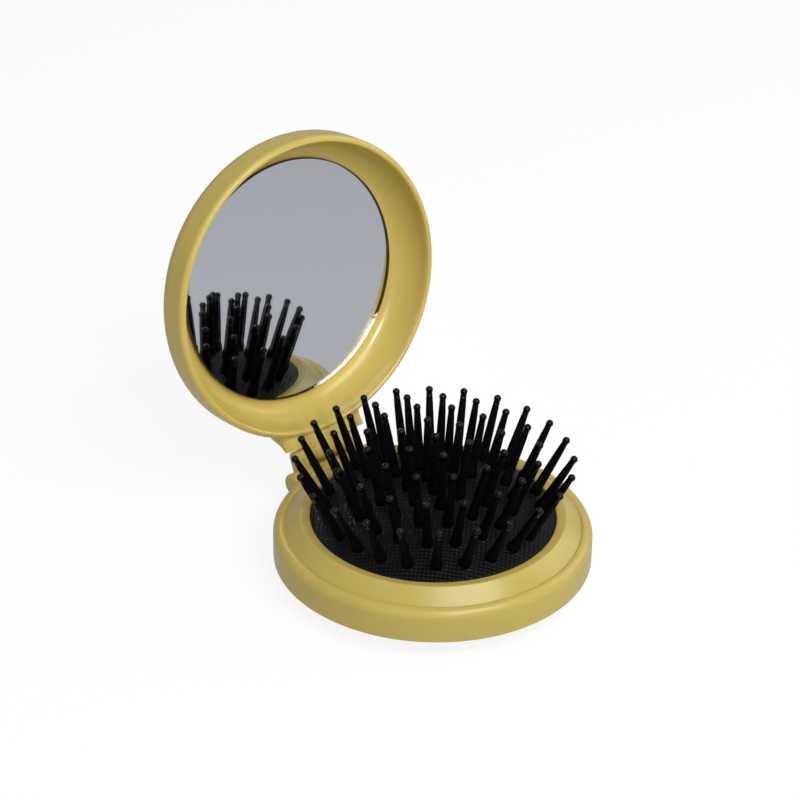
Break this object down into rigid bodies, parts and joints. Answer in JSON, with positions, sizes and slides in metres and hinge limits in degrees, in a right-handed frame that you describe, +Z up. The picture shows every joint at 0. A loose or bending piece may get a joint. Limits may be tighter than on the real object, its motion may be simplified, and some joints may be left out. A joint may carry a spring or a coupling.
{
  "type": "folding hairbrush with mirror",
  "caption": "Round pocket hairbrush that folds shut, with ball-tipped pins on a domed rubber pad and a mirror in its hinged lid.",
  "frame": {"origin": "centre of the round base's flat foot, on the surface it stands on", "axes": "+Z up out of the pad, +Y towards the hinge at the back, +X to the right along the hinge axis"},
  "size_m": [0.065, 0.0858, 0.0794],
  "materials": {
    "case_plastic": "polished",
    "clamp_plastic": "matte",
    "pad_rubber": "textured",
    "pin_nylon": "satin",
    "pin_steel": "ground",
    "tape_foam": "matte",
    "mirror_glass": "silvered glass"
  },
  "bodies": {
    "base": {"base_shell": "case_plastic", "base_cover": "case_plastic", "pad_clamp_ring": "clamp_plastic", "cushion_pad": "pad_rubber", "pins_ring_4": "pin_nylon", "hinge_pin": "pin_steel"},
    "lid": {"lid_shell": "case_plastic", "mirror_tape": "tape_foam", "mirror": "mirror_glass"},
    "centre_pins": {"pin_centre": "pin_nylon", "pins_ring_1": "pin_nylon"},
    "second_ring": {"pins_ring_2": "pin_nylon"},
    "third_ring": {"pins_ring_3": "pin_nylon"}
  },
  "joints": [
    {"name": "lid_hinge", "type": "hinge", "parent": "base", "child": "lid", "pos_m": [0, 0.0363, 0.0113], "axis": [-1, 0, 0], "range_deg": [-97, 0], "deforming": ["cushion_pad", "pins_ring_4"]},
    {"name": "centre_pins_drop", "type": "slide", "parent": "base", "child": "centre_pins", "axis": [0, 0, 1], "range_m": [-0.0141, 0]},
    {"name": "second_ring_drop", "type": "slide", "parent": "base", "child": "second_ring", "axis": [0, 0, 1], "range_m": [-0.013, 0]},
    {"name": "third_ring_drop", "type": "slide", "parent": "base", "child": "third_ring", "axis": [0, 0, 1], "range_m": [-0.0115, 0]}
  ],
  "couplings": [
    {"joint": "centre_pins_drop", "follows": "lid_hinge", "m_per_rad": 0.0083},
    {"joint": "second_ring_drop", "follows": "lid_hinge", "m_per_rad": 0.00765},
    {"joint": "third_ring_drop", "follows": "lid_hinge", "m_per_rad": 0.00673}
  ]
}
